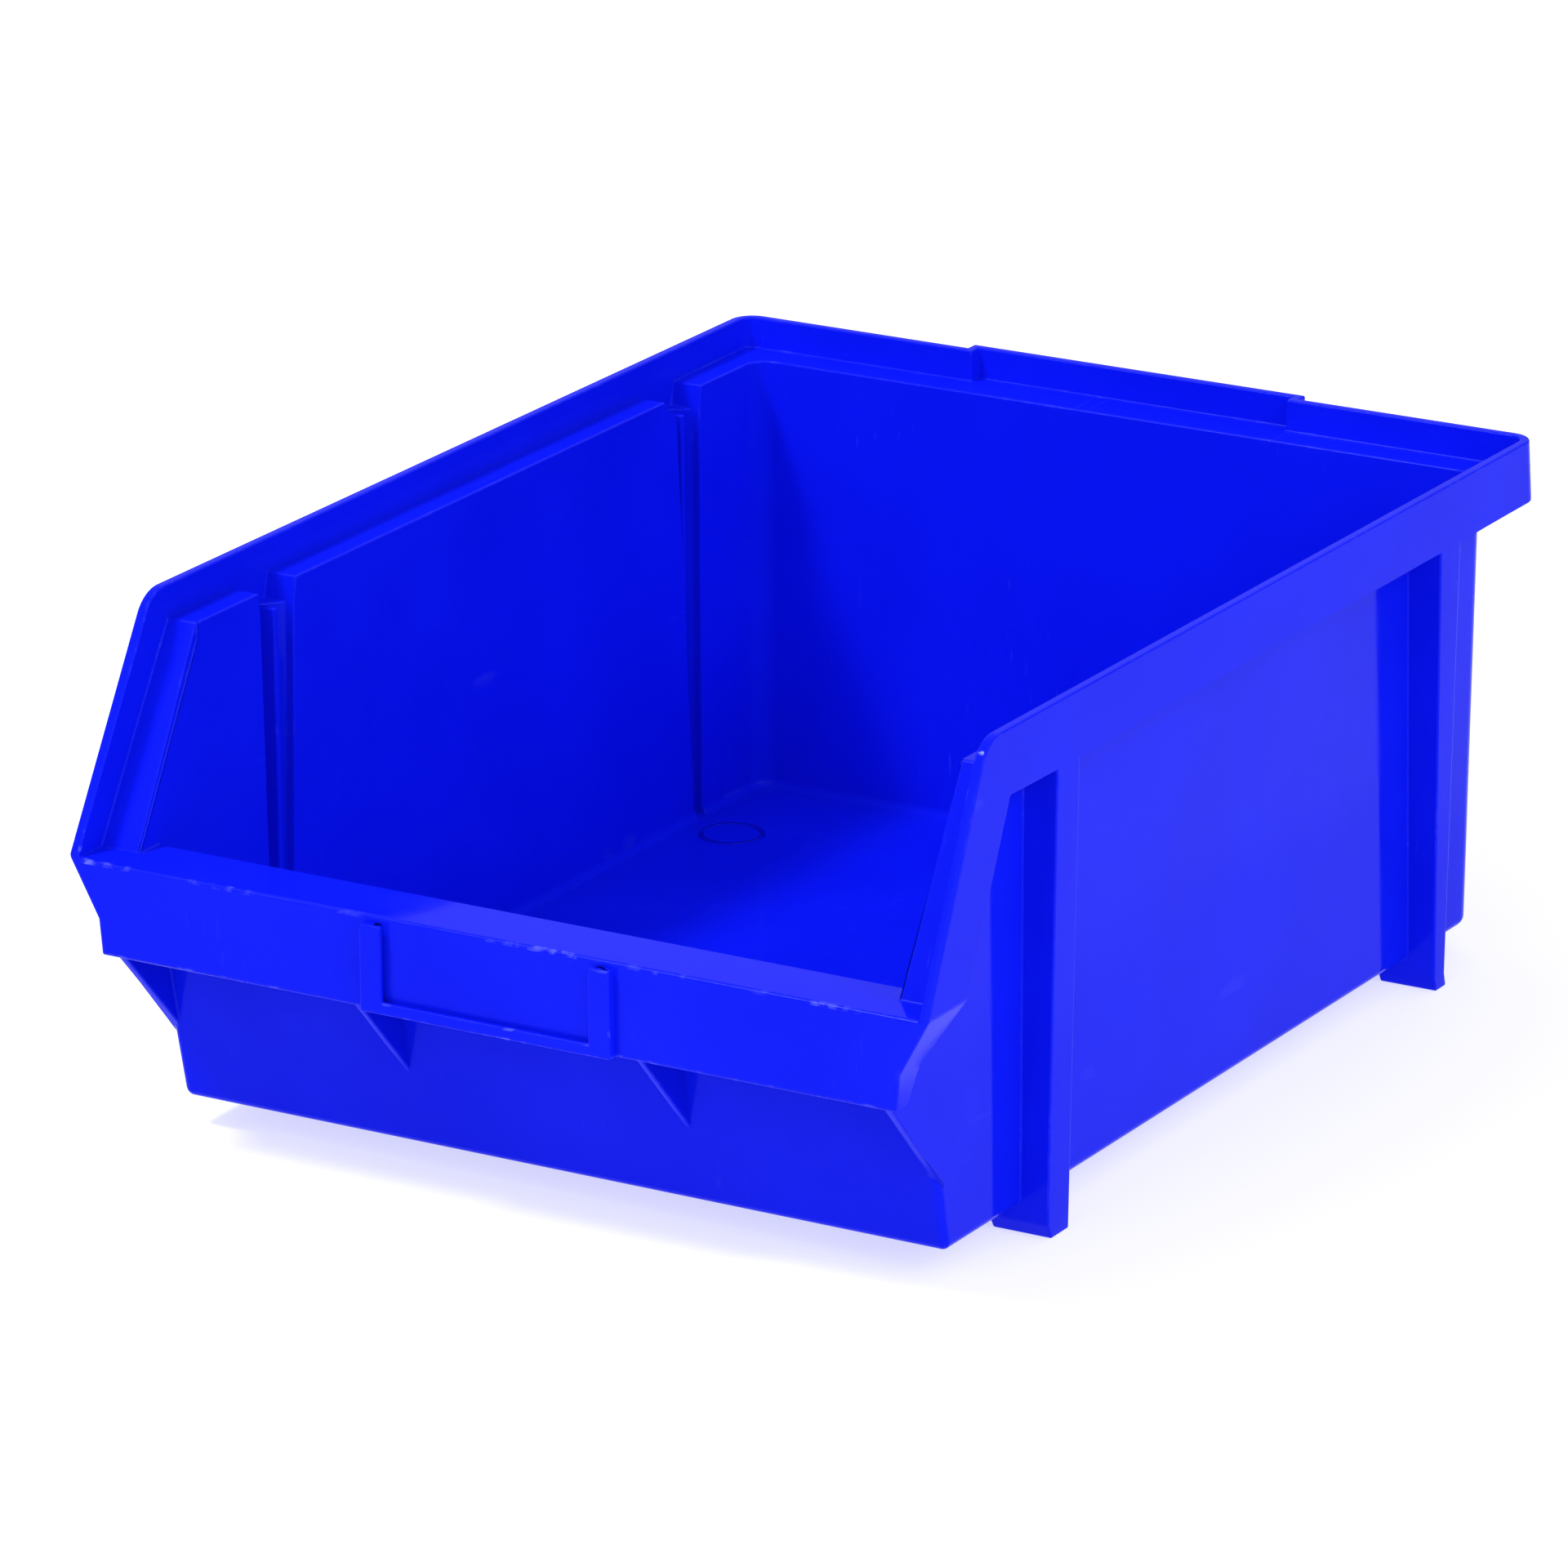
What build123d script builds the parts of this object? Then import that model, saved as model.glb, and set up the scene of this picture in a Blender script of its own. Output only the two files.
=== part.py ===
from build123d import *
import os

# Open-fronted stacking storage bin. Millimetres, +Z up, the open front faces -Y.
# The bin is one moulding. Each feature of it is its own solid here, and meets its
# neighbours face to face.

# Overall sizes
TOTAL_HEIGHT = 170.0      # feet to rim
LIP_WIDTH = 300.0         # the widest place, at the front lip
RIM_HALF_WIDTH = 147.4    # outer face of the side rims, at the very top
RIM_BACK = 395.5          # outer face of the back rim, measured from the lip face
HANGING_LIP_BACK = 400.0  # outer face of the hanging lip
HANGING_LIP_HALF = 61.5
LABEL_PROUD = 3.0         # how far the label holder stands in front of the lip
WALL = 3.0
RIM_WALL = 3.2

# Tub: floor and walls
FOOT_HEIGHT = 9.5
FLOOR_THICK = 2.8
FLOOR_TOP = FOOT_HEIGHT + FLOOR_THICK
TUB_HALF_BOTTOM = 135.0
TUB_SIDE_SLOPE = 0.0095   # the side walls lean outward going up
TUB_FRONT_BOTTOM = 36.8
TUB_FRONT_SLOPE = -0.218  # the front wall leans forward going up
TUB_BACK_BOTTOM = 380.6
TUB_BACK_SLOPE = 0.021    # the back wall leans backward going up
TUB_CORNER = 10.0
FLOOR_EDGE_RADIUS = 3.0
PAN_TOP = FLOOR_TOP + FLOOR_EDGE_RADIUS

# Stacking ledge and rim
LEDGE_TOP = 159.5
LEDGE_BOTTOM = LEDGE_TOP - WALL
RIM_BAND = 20.5           # height of the rim band
RIM_BOTTOM = TOTAL_HEIGHT - RIM_BAND
RIM_FLARE = 0.035         # the rim leans outward going down
RIM_CORNER = 8.0
RIM_SPLIT = 200.0         # the rounded rear of the rim starts behind this
RIM_BEND_Y = 39.65        # where the side rims turn down towards the lip
RIM_BEND_RADIUS = 12.0
LEDGE_BEND_Y = 48.0
LEDGE_FOOT_Y = 12.6       # where the sloped web reaches the lip

# Front lip
LIP_TOP = 95.8
LIP_BOTTOM = 66.0
LIP_WAIST_Z = 77.5
LIP_WAIST_HALF = 140.0
LIP_FOOT_HALF = 139.0
LIP_EDGE_RADIUS = 1.4

# Gussets below the lip
GUSSET_X = 49.5
GUSSET_THICK = 2.4
GUSSET_SLOPE = 1.09       # fall per mm of depth along the free edge

# Label holder
LABEL_HALF = 43.7
LABEL_BAR = 7.5
LABEL_BASE = 3.8
LABEL_TOP = 93.6
CARD_GAP = 1.0
CARD_GRIP = 2.4

# Legs. Each section is (front, rear at the outer face, rear at the wall), and the
# seat and the mouth of the slot are (front, rear).
LEGS = {
    "front": {
        "foot": (84.0, 94.6, 94.6),
        "ankle": (81.0, 94.0, 96.8),
        "rim": (80.0, 93.6, 104.0),
        "seat": (82.4, 101.6),
        "mouth": (82.0, 102.6),
        "rib": 93.3,
    },
    "rear": {
        "foot": (336.0, 343.0, 343.0),
        "ankle": (333.6, 341.0, 344.0),
        "rim": (326.8, 340.5, 346.4),
        "seat": (328.0, 343.6),
        "mouth": (322.0, 345.0),
        "rib": 335.6,
    },
}
LEG_WALL = 2.8
LEG_EDGE = 1.1            # the outer upright edges of the legs are broken
LEG_HOLLOW_EDGE = 0.4
ANKLE_HEIGHT = 5.0        # the feet taper in below this
FOOT_HALF = 144.2         # outer face of the legs at the very bottom
ANKLE_HALF = 144.6
FOOT_INNER = 124.0        # the feet reach in under the floor as far as this
FOOT_WALL = 2.0
RIB_INNER = 134.8
SEAT_Z = 151.5            # top of the ribs that the feet of the next bin stand on
RIB_THICK = 2.3

# Round marks in the floor
MARK_X = 113.0
MARK_Y = (96.0, 328.0)
MARK_RADIUS = 13.0
MARK_DEPTH = 0.4

CENTRE_Y = (HANGING_LIP_BACK - LABEL_PROUD) / 2
SLOT_FRONT_Y = 88.0
SLOT_REAR_Y = 338.0
FAR = 600.0
NODES = {}


def box(x0, x1, y0, y1, z0, z1):
    middle = ((x0 + x1) / 2, (y0 + y1) / 2, (z0 + z1) / 2)
    return Pos(*middle) * Box(x1 - x0, y1 - y0, z1 - z0)


def side_prism(points, x0=-FAR, x1=FAR):
    """A prism across the bin from an outline given as (y, z) points."""
    outline = make_face(Polyline(*points, close=True))
    return Pos(x0, 0, 0) * (Plane.YZ * extrude(outline, amount=x1 - x0))


def front_prism(points, y0, y1):
    """A prism from front to back from an outline given as (x, z) points."""
    outline = make_face(Polyline(*points, close=True))
    return Pos(0, y0, 0) * (Plane.XZ * extrude(outline, amount=y0 - y1))


def both_sides(shape):
    return shape + mirror(shape, about=Plane.YZ)


def tub_half(z):
    return TUB_HALF_BOTTOM + (z - FOOT_HEIGHT) * TUB_SIDE_SLOPE


def tub_front(z):
    return TUB_FRONT_BOTTOM + (z - FOOT_HEIGHT) * TUB_FRONT_SLOPE


def tub_back(z):
    return TUB_BACK_BOTTOM + (z - FOOT_HEIGHT) * TUB_BACK_SLOPE


def rim_half(z):
    return RIM_HALF_WIDTH + (TOTAL_HEIGHT - z) * RIM_FLARE


def rim_back(z):
    return RIM_BACK + (TOTAL_HEIGHT - z) * RIM_FLARE


def width_prism(inset, z0, z1):
    """Everything between the planes of the two side walls."""
    low = tub_half(z0) - inset
    high = tub_half(z1) - inset
    return front_prism([(-low, z0), (low, z0), (high, z1), (-high, z1)], -FAR, FAR)


def tub_block(inset, z0, z1):
    """The inside or the outside of the tub, with rounded corners and floor edge."""
    outline = [
        (tub_front(z0) + inset, z0),
        (tub_back(z0) - inset, z0),
        (tub_back(z1) - inset, z1),
        (tub_front(z1) + inset, z1),
    ]
    block = side_prism(outline) & width_prism(inset, z0, z1)
    upright = block.edges().filter_by(lambda edge: abs((edge % 0.5).Z) > 0.9)
    block = fillet(upright, TUB_CORNER - inset)
    return fillet(block.faces().sort_by(Axis.Z)[0].edges(), FLOOR_EDGE_RADIUS)


def rounded_block(low, high):
    """A block between two rounded rectangles (half width, front, back, radius, z)."""
    faces = []
    for half, front, back, radius, z in (low, high):
        outline = RectangleRounded(2 * half, back - front, radius)
        faces.append(Pos(0, (front + back) / 2, z) * outline)
    return loft(Sketch() + faces)


def rim_part(half, back, radius, z0, z1):
    """A block with rounded rear corners; half and back are (at z0, at z1)."""
    low = (half[0], RIM_SPLIT, back[0], radius, z0)
    high = (half[1], RIM_SPLIT, back[1], radius, z1)
    outline = [(-half[0], z0), (half[0], z0), (half[1], z1), (-half[1], z1)]
    return rounded_block(low, high) + front_prism(outline, -FAR, RIM_SPLIT + 20)


def rim_outside():
    """The outside of the rim, carried on forward past the lip."""
    z0, z1 = LIP_BOTTOM, TOTAL_HEIGHT
    half = (rim_half(z0), rim_half(z1))
    return rim_part(half, (rim_back(z0), rim_back(z1)), RIM_CORNER, z0, z1)


def rim_inside():
    """The inside of the rim: upright above the ledge, leaning outward below it."""
    half = RIM_HALF_WIDTH - RIM_WALL
    back = RIM_BACK - RIM_WALL
    radius = RIM_CORNER - RIM_WALL
    z0 = LIP_BOTTOM
    low_half = (rim_half(z0) - RIM_WALL, half)
    low_back = (rim_back(z0) - RIM_WALL, back)
    lower = rim_part(low_half, low_back, radius, z0, LEDGE_TOP)
    return lower + rim_part((half, half), (back, back), radius, LEDGE_TOP, TOTAL_HEIGHT + 5)


def rim_slope():
    return (TOTAL_HEIGHT - LIP_TOP) / RIM_BEND_Y


def band_foot(z):
    """Rear edge of the rim band where it runs down the slope, at a height z."""
    slope = rim_slope()
    length = (slope**2 + 1) ** 0.5
    bend = RIM_BEND_Y + RIM_BAND * (length - 1) / slope
    return bend - (RIM_BOTTOM - z) / slope


def make_rim():
    """The rim band: level round the sides and back, sloping down to the lip."""
    outline = [
        (0, LIP_TOP),
        (RIM_BEND_Y, TOTAL_HEIGHT),
        (FAR, TOTAL_HEIGHT),
        (FAR, RIM_BOTTOM),
        (band_foot(RIM_BOTTOM), RIM_BOTTOM),
        (band_foot(LIP_TOP), LIP_TOP),
    ]
    band = side_prism(outline)
    bend = band.edges().filter_by(Axis.X).sort_by_distance((0, RIM_BEND_Y, TOTAL_HEIGHT))
    band = fillet(bend[0], RIM_BEND_RADIUS)
    return (rim_outside() - rim_inside()) & band


def make_hanging_lip():
    """The middle of the back rim, set back so that it can hang on a rail."""
    half = HANGING_LIP_HALF
    start = RIM_BACK - RIM_WALL
    outer = box(-half, half, start, HANGING_LIP_BACK, RIM_BOTTOM, TOTAL_HEIGHT)
    outer = fillet(outer.edges().filter_by(Axis.Z).group_by(Axis.Y)[-1], 1.5)
    return outer - make_hanging_lip_space()


def make_hanging_lip_space():
    half = HANGING_LIP_HALF - RIM_WALL
    return box(-half, half, RIM_BACK - 12, HANGING_LIP_BACK - RIM_WALL, 100, 200)


def make_ledge():
    """The level shelf between the tub and the rim."""
    side = box(-FAR, FAR, LEDGE_BEND_Y, FAR, LEDGE_BOTTOM, LEDGE_TOP) & rim_inside()
    level = box(-FAR, FAR, 0, FAR, LEDGE_BOTTOM, LEDGE_TOP)
    return side + (make_hanging_lip_space() & level)


def web_outline():
    slope = (LEDGE_TOP - LIP_TOP) / (LEDGE_BEND_Y - LEDGE_FOOT_Y)
    run = WALL * (slope**2 + 1) ** 0.5 / slope
    return [
        (LEDGE_FOOT_Y, LIP_TOP),
        (LEDGE_BEND_Y, LEDGE_TOP),
        (LEDGE_BEND_Y, LEDGE_BOTTOM),
        (LEDGE_BEND_Y + run - WALL / slope, LEDGE_BOTTOM),
        (LEDGE_FOOT_Y + run, LIP_TOP),
    ]


def make_lip():
    """The front lip: face, top plate and the two ends that carry on the rims."""
    half = LIP_WIDTH / 2
    waist = tub_half(LIP_WAIST_Z) - 0.6
    outline = [
        (-half, LIP_TOP),
        (half, LIP_TOP),
        (LIP_WAIST_HALF, LIP_WAIST_Z),
        (LIP_FOOT_HALF, LIP_BOTTOM),
        (-LIP_FOOT_HALF, LIP_BOTTOM),
        (-LIP_WAIST_HALF, LIP_WAIST_Z),
    ]
    hollow = [
        (5.1 - half, LIP_TOP - WALL),
        (half - 5.1, LIP_TOP - WALL),
        (waist, LIP_WAIST_Z - 3.2),
        (waist, LIP_BOTTOM - 10),
        (-waist, LIP_BOTTOM - 10),
        (-waist, LIP_WAIST_Z - 3.2),
    ]
    behind = [
        (band_foot(LIP_BOTTOM - 5), LIP_BOTTOM - 5),
        (band_foot(LIP_TOP), LIP_TOP),
        (FAR, LIP_TOP),
        (FAR, LIP_BOTTOM - 5),
    ]
    lip = front_prism(outline, 0, 40)
    lip = fillet(lip.edges().filter_by(Axis.X).group_by(Axis.Y)[0], LIP_EDGE_RADIUS)
    return lip - front_prism(hollow, WALL, 60) - side_prism(behind)


def make_side_slabs():
    """The side walls in front of the legs, with the gussets at the ends of the lip."""
    edge = LIP_BOTTOM - (50 - WALL) * GUSSET_SLOPE
    outline = [
        (WALL, LIP_BOTTOM),
        (50, edge),
        (60, edge),
        (60, LEDGE_BOTTOM),
        (50, LEDGE_BOTTOM),
        (LEDGE_FOOT_Y, LIP_TOP),
        (WALL, LIP_TOP - WALL),
    ]
    slabs = width_prism(0, FOOT_HEIGHT, LEDGE_TOP) - width_prism(WALL, 0, TOTAL_HEIGHT)
    return slabs & side_prism(outline)


def make_middle_gusset():
    outline = [
        (WALL, LIP_BOTTOM),
        (50, LIP_BOTTOM - (50 - WALL) * GUSSET_SLOPE),
        (50, LIP_TOP - WALL),
        (WALL, LIP_TOP - WALL),
    ]
    half = GUSSET_THICK / 2
    return side_prism(outline, GUSSET_X - half, GUSSET_X + half)


def leg_section(place, level, z, half, x_inset, y_inset):
    """The outline of a leg, or of the hollow in it, as a face at a height z."""
    front, rear_outer, rear_wall = LEGS[place][level]
    inner = FOOT_INNER - 5 * x_inset
    outer = half - x_inset
    slant = (rear_wall - rear_outer) / (half - tub_half(z))
    rear = rear_outer - y_inset
    edge = LEG_HOLLOW_EDGE if x_inset else LEG_EDGE
    points = [
        (inner, front + y_inset),
        (outer - edge, front + y_inset),
        (outer, front + y_inset + edge),
        (outer, rear - edge),
        (outer - edge, rear + edge * slant),
        (tub_half(z), rear_wall - y_inset),
        (inner, rear_wall - y_inset),
    ]
    return Pos(0, 0, z) * make_face(Polyline(*points, close=True))


def make_leg(place):
    """The outside of one leg with its foot, on the +X side."""
    foot = leg_section(place, "foot", 0, FOOT_HALF, 0, 0)
    ankle = leg_section(place, "ankle", ANKLE_HEIGHT, ANKLE_HALF, 0, 0)
    rim = leg_section(place, "rim", RIM_BOTTOM, rim_half(RIM_BOTTOM), 0, 0)
    shaft = loft(Sketch() + [ankle, rim], ruled=True)
    toe = loft(Sketch() + [foot, ankle], ruled=True)
    y0, y1 = LEGS[place]["mouth"]
    neck = box(
        FOOT_INNER, FAR, y0 - LEG_WALL, y1 + LEG_WALL, RIM_BOTTOM, LEDGE_BOTTOM
    )
    front, rear, _ = LEGS[place]["foot"]
    pocket = box(
        FOOT_INNER + FOOT_WALL,
        FOOT_HALF - FOOT_WALL,
        front + FOOT_WALL,
        rear - FOOT_WALL,
        -1,
        FOOT_HEIGHT,
    )
    return shaft + toe + (neck & rim_inside()) - pocket


def make_slot(place):
    """The hollow of one leg, open to the tub and up through the ledge, +X side."""
    rim_level = (RIM_BOTTOM, rim_half(RIM_BOTTOM), RIM_WALL, LEG_WALL)
    ankle = leg_section(place, "ankle", ANKLE_HEIGHT, ANKLE_HALF, RIM_WALL, LEG_WALL)
    rim = leg_section(place, "rim", *rim_level)
    shaft = loft(Sketch() + [ankle, rim], ruled=True) & box(0, FAR, 0, FAR, FLOOR_TOP, FAR)
    shaft += extrude(rim, amount=SEAT_Z - RIM_BOTTOM) & rim_inside()
    mouth = side_prism(
        [
            (LEGS[place]["seat"][0], SEAT_Z),
            (LEGS[place]["seat"][1], SEAT_Z),
            (LEGS[place]["mouth"][1], LEDGE_TOP),
            (LEGS[place]["mouth"][1], LEDGE_TOP + 5),
            (LEGS[place]["mouth"][0], LEDGE_TOP + 5),
            (LEGS[place]["mouth"][0], LEDGE_TOP),
        ],
        110,
        FAR,
    )
    return shaft + (mouth & rim_inside())


def make_rib(place):
    """The upright plate in the middle of a slot."""
    y = LEGS[place]["rib"]
    half = RIB_THICK / 2
    return box(RIB_INNER, FAR, y - half, y + half, FLOOR_TOP, SEAT_Z)


def make_label_bar():
    """The +X upright of the label holder, with its groove for a card."""
    inner = LABEL_HALF - LABEL_BAR
    bar = box(inner, LABEL_HALF, -LABEL_PROUD, WALL, LIP_BOTTOM + LABEL_BASE, LABEL_TOP)
    bar = chamfer(bar.faces().sort_by(Axis.Y)[0].edges(), 0.6)
    return bar - box(inner - 1, inner + CARD_GRIP, -CARD_GAP, 0, 0, FAR)


def make_label_base():
    top = LIP_BOTTOM + LABEL_BASE
    bar = box(-LABEL_HALF, LABEL_HALF, -LABEL_PROUD, WALL, LIP_BOTTOM, top)
    bar = chamfer(bar.faces().sort_by(Axis.Y)[0].edges().sort_by(Axis.Z)[:1], 0.6)
    reach = LABEL_HALF - LABEL_BAR + CARD_GRIP
    return bar - box(-reach, reach, -CARD_GAP, 0, top - CARD_GRIP, FAR)


def make_floor_marks():
    """Shallow round grooves in the top of the floor, one near each leg."""
    groove = Cylinder(MARK_RADIUS, 2 * MARK_DEPTH) - Cylinder(MARK_RADIUS - 1.2, 2)
    marks = Part()
    for x in (-MARK_X, MARK_X):
        for y in MARK_Y:
            marks += Pos(x, y, FLOOR_TOP) * groove
    return marks


def keep(name, shape):
    """Store a feature as one node, moved so the bin is centred over the origin."""
    solids = [solid for solid in shape.solids() if solid.volume > 1.0]
    NODES[name] = Pos(0, -CENTRE_Y, 0) * Compound(solids)


def keep_pair(name, shape):
    """Store the two sides of a feature as two nodes, each the mirror of the other."""
    left = shape & box(-FAR, 0, -FAR, FAR, -FAR, FAR)
    keep("left_" + name, left)
    keep("right_" + name, mirror(left, about=Plane.YZ))


def keep_walls(lip, webs, cavity, tub, slots):
    """The floor and the walls of the tub, cut apart where one feature meets another."""
    plate = LIP_TOP - WALL
    shell = (tub - cavity) & box(-FAR, FAR, -FAR, FAR, -FAR, LEDGE_BOTTOM)
    shell -= box(-FAR, FAR, -FAR, 55, plate, FAR)
    shell = shell + make_side_slabs() - lip - webs - slots
    above = box(-FAR, FAR, -FAR, FAR, PAN_TOP, FAR)
    pan = box(-FAR, FAR, TUB_FRONT_BOTTOM - 5, FAR, 0, PAN_TOP)
    keep("floor", (shell & pan) - make_floor_marks())
    walls = shell & above
    straight = TUB_HALF_BOTTOM - TUB_CORNER
    back = TUB_BACK_BOTTOM - TUB_CORNER
    keep("lower_front_wall", walls & box(-straight, straight, -FAR, 60, 0, FAR))
    keep("back_wall", walls & box(-FAR, FAR, back, FAR, 0, FAR))
    sides = walls & box(-FAR, FAR, -FAR, back, 0, FAR)
    sides -= box(-straight, straight, -FAR, FAR, 0, FAR)
    keep_pair("side_panel_front", sides & box(-FAR, FAR, -FAR, SLOT_FRONT_Y, 0, FAR))
    middle = box(-FAR, FAR, SLOT_FRONT_Y, SLOT_REAR_Y, 0, FAR)
    keep_pair("side_panel_middle", sides & middle)
    keep_pair("side_panel_rear", sides & box(-FAR, FAR, SLOT_REAR_Y, FAR, 0, FAR))


def keep_top(rim, cavity, slots):
    """The stacking ledge, the rim round it and the hanging lip."""
    hanging = make_hanging_lip()
    back = TUB_BACK_BOTTOM - TUB_CORNER
    ledge = make_ledge() - cavity - slots - hanging
    sides = ledge & box(-FAR, FAR, -FAR, back, 0, FAR)
    keep_pair("ledge_front", sides & box(-FAR, FAR, -FAR, SLOT_FRONT_Y, 0, FAR))
    keep_pair("ledge_middle", sides & box(-FAR, FAR, SLOT_FRONT_Y, SLOT_REAR_Y, 0, FAR))
    keep_pair("ledge_rear", sides & box(-FAR, FAR, SLOT_REAR_Y, FAR, 0, FAR))
    keep("ledge_back", ledge & box(-FAR, FAR, back, FAR, 0, FAR))
    rim -= hanging + make_hanging_lip_space()
    keep("hanging_lip", hanging)
    bend = band_foot(RIM_BOTTOM)
    corner = RIM_BACK - RIM_CORNER
    keep_pair("sloped_rim", rim & box(-FAR, FAR, -FAR, bend, 0, FAR))
    keep_pair("side_rim", rim & box(-FAR, FAR, bend, corner, 0, FAR))
    keep_pair("back_rim", rim & box(-FAR, FAR, corner, FAR, 0, FAR))


def keep_front(lip, tub):
    """The front lip with its gussets and its label holder."""
    plate = LIP_TOP - WALL
    keep("front_lip_face", lip & box(-FAR, FAR, -FAR, WALL, 0, FAR))
    behind = lip & box(-FAR, FAR, WALL, FAR, 0, FAR)
    keep("front_lip_top", behind & box(-FAR, FAR, -FAR, FAR, plate, FAR))
    keep_pair("front_lip_end", behind & box(-FAR, FAR, -FAR, FAR, 0, plate))
    keep_pair("middle_gusset", both_sides(make_middle_gusset()) - tub)
    keep("label_holder_base", make_label_base() - lip)
    keep_pair("label_holder_upright", both_sides(make_label_bar()) - lip)


def build():
    cavity = tub_block(WALL, FLOOR_TOP, TOTAL_HEIGHT + 10)
    tub = tub_block(0, FOOT_HEIGHT, LEDGE_TOP)
    rim = make_rim()
    lip = make_lip() - cavity
    open_side = width_prism(WALL, LIP_TOP, TOTAL_HEIGHT) & box(-FAR, FAR, -FAR, 60, 0, FAR)
    webs = (side_prism(web_outline()) & rim_inside()) - open_side
    slots = both_sides(make_slot("front")) + both_sides(make_slot("rear"))
    keep_walls(lip, webs, cavity, tub, slots)
    keep_top(rim, cavity, slots)
    keep_front(lip, tub)
    keep_pair("sloped_web", webs)
    for place in LEGS:
        leg = make_leg(place) - make_slot(place) - tub
        keep_pair(place + "_leg", both_sides(leg))
        keep_pair(place + "_slot_rib", both_sides(make_rib(place) & make_slot(place)))


build()
os.makedirs("parts", exist_ok=True)
for name, shape in NODES.items():
    export_step(shape, "parts/" + name + ".step")
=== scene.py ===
import math

import bmesh
import bpy
from mathutils import Matrix, Vector


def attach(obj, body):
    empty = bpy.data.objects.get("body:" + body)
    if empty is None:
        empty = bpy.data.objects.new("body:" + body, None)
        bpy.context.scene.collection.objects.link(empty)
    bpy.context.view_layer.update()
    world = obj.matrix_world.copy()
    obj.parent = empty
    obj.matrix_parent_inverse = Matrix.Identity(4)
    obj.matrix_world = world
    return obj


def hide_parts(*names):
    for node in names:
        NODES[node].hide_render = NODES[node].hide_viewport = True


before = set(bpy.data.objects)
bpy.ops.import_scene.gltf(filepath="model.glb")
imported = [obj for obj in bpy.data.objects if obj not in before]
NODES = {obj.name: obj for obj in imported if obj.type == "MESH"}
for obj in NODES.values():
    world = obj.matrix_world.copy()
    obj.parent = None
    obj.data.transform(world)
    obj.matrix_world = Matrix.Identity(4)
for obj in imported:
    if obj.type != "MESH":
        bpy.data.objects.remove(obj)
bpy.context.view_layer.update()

MM = 0.001

# ---------------------------------------------------------------- sizes
# All in millimetres, with Y measured from the face of the front lip, which is
# CENTRE_Y in front of the middle of the shared frame.

CENTRE_Y = 198.5
FAR = 600.0
TOTAL_HEIGHT = 170.0
WALL = 3.0
RIM_WALL = 3.2

# The tub: its half width, front and back at FOOT_HEIGHT, and how they lean
FOOT_HEIGHT = 9.5
TUB_HALF = 135.0
TUB_HALF_LEAN = 0.0095
TUB_FRONT = 36.8
TUB_FRONT_LEAN = -0.218
TUB_BACK = 380.6
TUB_BACK_LEAN = 0.021
FLOOR_TOP = 12.3
FLOOR_EDGE = 3.0
FLOOR_EDGE_STEPS = 5
TUB_CORNER = 10.0
TUB_FRONT_CORNER = 2.7
SMALLEST_CORNER = 1.0
MARK_RADIUS = 10.8
MARK_WIDTH = 1.1
MARK_DEPTH = 0.4
MARK_STEPS = 48
MARK_PLACES = [(x, y) for x in (-113.0, 113.0) for y in (96.0, 328.0)]

# The ledge and the rim round the top
LEDGE_TOP = 159.5
LEDGE_BOTTOM = 156.5
LEDGE_BEND_Y = 48.0
LEDGE_FOOT_Y = 12.6
RIM_HALF = 147.4
RIM_BACK = 395.5
RIM_LEAN = 0.035
RIM_BAND = 20.5
RIM_BOTTOM = 149.5
RIM_CORNER = 8.0
RIM_BEND_Y = 39.65
RIM_BEND_RADIUS = 12.0
HANGING_HALF = 61.5
HANGING_BACK = 400.0
HANGING_INNER_Y = RIM_BACK - 12

# The front lip
LIP_HALF = 150.0
LIP_TOP = 95.8
LIP_BOTTOM = 66.0
LIP_WAIST = 77.5
LIP_WAIST_HALF = 140.0
LIP_BOTTOM_HALF = 139.0
LIP_END_WALL = 5.1
SLAB_END_Y = 50.0

# The legs. Each level gives the front, the rear at the outside and the rear at
# the wall of the tub; seat and mouth give the front and rear of the slot.
LEG_WALL = 2.8
ANKLE_HEIGHT = 5.0
FOOT_HALF = 144.2
ANKLE_HALF = 144.6
FOOT_INNER = 124.0
FOOT_WALL = 2.0
SEAT_Z = 151.5
RIB_HALF = 1.15
RIB_INNER = 134.8
RIB_INSET = 1.5
LEGS = {
    "front": {
        "foot": (84.0, 94.6, 94.6),
        "ankle": (81.0, 94.0, 96.8),
        "rim": (80.0, 93.6, 104.0),
        "seat": (82.8, 101.2),
        "mouth": (82.0, 102.6),
        "rib": 93.3,
    },
    "rear": {
        "foot": (336.0, 343.0, 343.0),
        "ankle": (333.6, 341.0, 344.0),
        "rim": (326.8, 340.5, 346.4),
        "seat": (329.6, 343.6),
        "mouth": (322.0, 345.0),
        "rib": 335.6,
    },
}

# The middle gussets and the label holder
GUSSET_X = 49.5
GUSSET_THICK = 2.4
GUSSET_SLOPE = 1.09
GUSSET_FOOT_Z = LIP_BOTTOM - (SLAB_END_Y - WALL) * GUSSET_SLOPE
LABEL_HALF = 43.7
LABEL_BAR = 7.5
LABEL_BASE = 3.8
LABEL_TOP = 93.6
LABEL_PROUD = 3.0
CARD_GAP = 1.0
CARD_GRIP = 2.4

# Rounding of the moulded edges
LIP_ROUNDING = 1.3
EDGE_ROUNDING = 0.7
EDGE_SEGMENTS = 3
SHARP_ANGLE = math.radians(28)
FLAT_ANGLE = math.radians(0.15)

# How far solids go into each other before they are joined
OVERLAP = 1.0

# The camera: the direction it stands in, in degrees, and its place, in metres
CAMERA_AZIMUTH = 30.73
CAMERA_ELEVATION = 18.49
CAMERA_ROLL = -0.36
CAMERA_PLACE = (1.4768, -2.5108, 1.0602)
CAMERA_LENS = 225.9


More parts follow.
